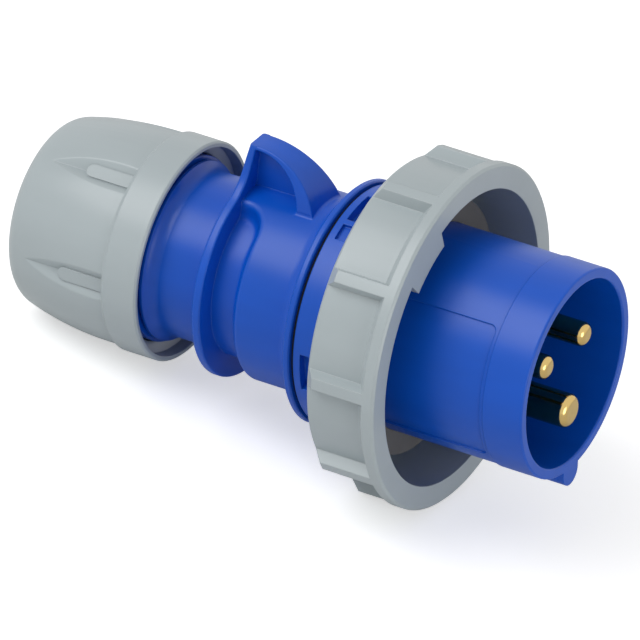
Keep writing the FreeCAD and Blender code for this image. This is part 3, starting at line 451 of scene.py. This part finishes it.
def plastic(name, colour, rubbed, roughness, gloss, streaks, grain_size, grain_height, thread=None):
    """A moulded plastic. Its grain's size is in mm and its height in microns. thread holds the inputs of the
    gland thread, if a piece of this plastic has one."""
    made, tree, shader = finish(name)
    skin = add(tree, "Group", {
        "Colour": colour,
        "Streaks": streaks,
        "Roughness": roughness,
        "Grain Size": grain_size,
    }, node_tree=skin_tree)
    # The edges get a painted highlight in a paler shade of the colour.
    edges = add(tree, "Group", {"Colour": skin.outputs["Colour"], "Edge Highlight": rubbed}, node_tree=edge_highlight_tree)
    surface = bump(tree, skin.outputs["Height"], grain_height * MICRON, edges.outputs["Normal"])
    if thread:
        threaded = add(tree, "Group", thread, node_tree=thread_tree)
        surface = bump(tree, threaded.outputs["Height"], THREAD_DEPTH * MM, surface)
    feed(tree, shader, {
        "Base Color": edges.outputs["Colour"],
        "Roughness": skin.outputs["Roughness"],
        "Normal": surface,
        "IOR": PLASTIC_IOR,
        "Specular IOR Level": gloss,
    })
    return made


print("maker:", plastic.__name__, "with a thread that is", THREAD_DEPTH, "mm deep")

# %% [markdown]
# ## The plug's three plastics
#
# Blue marks the voltage, so the housing and sleeve are dyed a strong pure blue, and the ring and nut are a
# cool pale grey. Each plastic also gets a paler shade of itself, not plain white, as the painted highlight on
# its edges. The threads are given by where they start and end behind the mouth, and by the radii between
# which they lie, in mm.

# %% Blue, grey and dark plastic
tail_thread = {"Start": -89.6, "End": -99.3, "Inner": 18.9, "Outer": 19.24}
nut_thread = {"Start": -90.4, "End": -102.8, "Inner": 18.9, "Outer": 19.6}
# Each plastic's second colour is the painted highlight on its edges.
finishes = {
    "blue_plastic": plastic(
        "blue_plastic",
        colour=linear(0, 80, 190),
        rubbed=linear(40, 108, 205),
        roughness=0.32,
        gloss=0.36,
        streaks=0.05,
        grain_size=0.16,
        grain_height=4,
        thread=tail_thread,
    ),
    "grey_plastic": plastic(
        "grey_plastic",
        colour=linear(167, 177, 180),
        rubbed=linear(200, 208, 210),
        roughness=0.3,
        gloss=0.45,
        streaks=0.02,
        grain_size=0.18,
        grain_height=3,
        thread=nut_thread,
    ),
    "dark_plastic": plastic(
        "dark_plastic",
        colour=linear(30, 38, 46),
        rubbed=linear(70, 78, 86),
        roughness=0.45,
        gloss=0.4,
        streaks=0.08,
        grain_size=0.2,
        grain_height=6,
    ),
}
print("plastics:", sorted(finishes))

# %% [markdown]
# ## Rubber
#
# The flange gasket is matt grey rubber, and the seal between the housings and the cable seal are black.
# Rubber differs from plastic in that it has no polish: a coarser bloom of wax and talc lies on it. A glossier
# plastic with another colour would give it away. So it uses the same skin with a coarse grain, and a second
# noise turns spots of its colour paler.

# %% Rubber
RUBBER_ROUGHNESS = 0.75
RUBBER_GLOSS = 0.3
RUBBER_STREAKS = 0.07
RUBBER_GRAIN = 0.3
TALC_SPOTS = 900
TALC_NOISE = (0.52, 0.7)
MOST_TALC = 0.35


def rubbery(name, colour, talc_colour, grain_height):
    """A matt rubber, with a bloom of talc. The height of its grain is in microns."""
    made, tree, shader = finish(name)
    skin = add(tree, "Group", {
        "Colour": colour,
        "Streaks": RUBBER_STREAKS,
        "Roughness": RUBBER_ROUGHNESS,
        "Grain Size": RUBBER_GRAIN,
    }, node_tree=skin_tree)
    bloom = add(tree, "TexNoise", {"Scale": TALC_SPOTS, "Detail": 4, "Roughness": 0.7})
    talc = remap(tree, bloom.outputs["Fac"], TALC_NOISE, (0, MOST_TALC))
    dusted = add(tree, "Mix", {
        "Factor": talc,
        "A": skin.outputs["Colour"],
        "B": talc_colour,
    }, data_type="RGBA")
    feed(tree, shader, {
        "Base Color": dusted.outputs["Result"],
        "Roughness": skin.outputs["Roughness"],
        "Normal": bump(tree, skin.outputs["Height"], grain_height * MICRON),
        "Specular IOR Level": RUBBER_GLOSS,
    })
    return made


finishes["gasket_rubber"] = rubbery("gasket_rubber", linear(104, 103, 101), linear(142, 141, 137), 10)
black_rubber = rubbery("black_rubber", linear(24, 26, 30), linear(58, 60, 64), 8)
print("rubbers:", finishes["gasket_rubber"].name, black_rubber.name)

# %% [markdown]
# ## Turning marks
#
# The pins are turned from brass bar, and the screws are zinc plated steel. A lathe leaves fine rings round
# the axis, which stretch the highlights along the pin. Anisotropy could imitate that, but it needs tangents
# that these solids lack. So the group below makes rings of slightly different height and polish from a noise
# that only changes along the axis, with a few tarnished patches.

# %% Group: turned metal
STAINS_PER_MM = 0.35
STAIN_NOISE = (0.5, 0.8)
MOST_STAIN = 0.2
RING_DULLNESS = 0.06
STAIN_DULLNESS = 0.25

lathe_tree, lathe_in, lathe_out = group(
    "turned_metal",
    [
        ("Colour", "Color", (0.8, 0.6, 0.3, 1)),
        ("Tarnish", "Color", (0.4, 0.3, 0.1, 1)),
        ("Ring Width", "Float", 0.08),
        ("Roughness", "Float", 0.2),
    ],
    [("Colour", "Color"), ("Roughness", "Float"), ("Height", "Float")],
)
lathe_spot = add(lathe_tree, "Group", node_tree=spot_tree).outputs
ring_place = calc(lathe_tree, "DIVIDE", lathe_spot["Along"], lathe_in["Ring Width"])
ring_noise = add(lathe_tree, "TexNoise", {"W": ring_place, "Scale": 1, "Detail": 2}, noise_dimensions="1D")
rings = ring_noise.outputs["Fac"]
spots = add(lathe_tree, "TexNoise", {"Vector": lathe_spot["Point"], "Scale": STAINS_PER_MM, "Detail": 5})
stain = remap(lathe_tree, spots.outputs["Fac"], STAIN_NOISE, (0, MOST_STAIN))
stained = add(lathe_tree, "Mix", {
    "Factor": stain,
    "A": lathe_in["Colour"],
    "B": lathe_in["Tarnish"],
}, data_type="RGBA")
ringed = calc(lathe_tree, "MULTIPLY_ADD", rings, RING_DULLNESS, lathe_in["Roughness"])
dulled = calc(lathe_tree, "MULTIPLY_ADD", stain, STAIN_DULLNESS, ringed)
feed(lathe_tree, lathe_out, {"Colour": stained.outputs["Result"], "Roughness": dulled, "Height": rings})
print("group:", lathe_tree.name)

# %% [markdown]
# ## Brass and plated steel
#
# Both metals are bare, so their colour is the colour of their reflections. A grey or yellow paint with a
# strong gloss would keep white highlights. So the shader is fully metallic, and the brass is smoother than
# the screws, because the pins have to slide into their contacts.

# %% Brass and zinc


def turned(name, colour, tarnish, ring_width, roughness, ring_height):
    """A metal with turning marks. The marks' width is in mm and their height in microns."""
    made, tree, shader = finish(name)
    metal = add(tree, "Group", {
        "Colour": colour,
        "Tarnish": tarnish,
        "Ring Width": ring_width,
        "Roughness": roughness,
    }, node_tree=lathe_tree)
    feed(tree, shader, {
        "Base Color": metal.outputs["Colour"],
        "Roughness": metal.outputs["Roughness"],
        "Normal": bump(tree, metal.outputs["Height"], ring_height * MICRON),
        "Metallic": 1,
    })
    return made


finishes["brass"] = turned("brass", linear(214, 184, 118), linear(160, 124, 70), 0.07, 0.12, 0.6)
finishes["screw_steel"] = turned("screw_steel", linear(196, 197, 194), linear(140, 138, 130), 0.05, 0.28, 1.5)
print("metals:", [finishes[name].name for name in ("brass", "screw_steel")])

# %% [markdown]
# ## Dressing the solids
#
# The CAD names a material slot for each of its solids. The finishes could be picked by hand for each of the
# twenty pieces, but a piece added later would then stay bare. So each piece gets the finish made above under
# its slot's name. Only the two black rubbers differ from the gasket, whose slot they share.

# %% Finishes by slot
for name, node in nodes.items():
    slot_name = node.data.materials[0].name.split(".")[0]
    node.data.materials.clear()
    node.data.materials.append(finishes[slot_name])
    node["finish"] = slot_name
for name in ("housing_seal", "cable_seal"):
    nodes[name].data.materials[0] = black_rubber
print({slot_name: sum(node["finish"] == slot_name for node in nodes.values()) for slot_name in finishes})
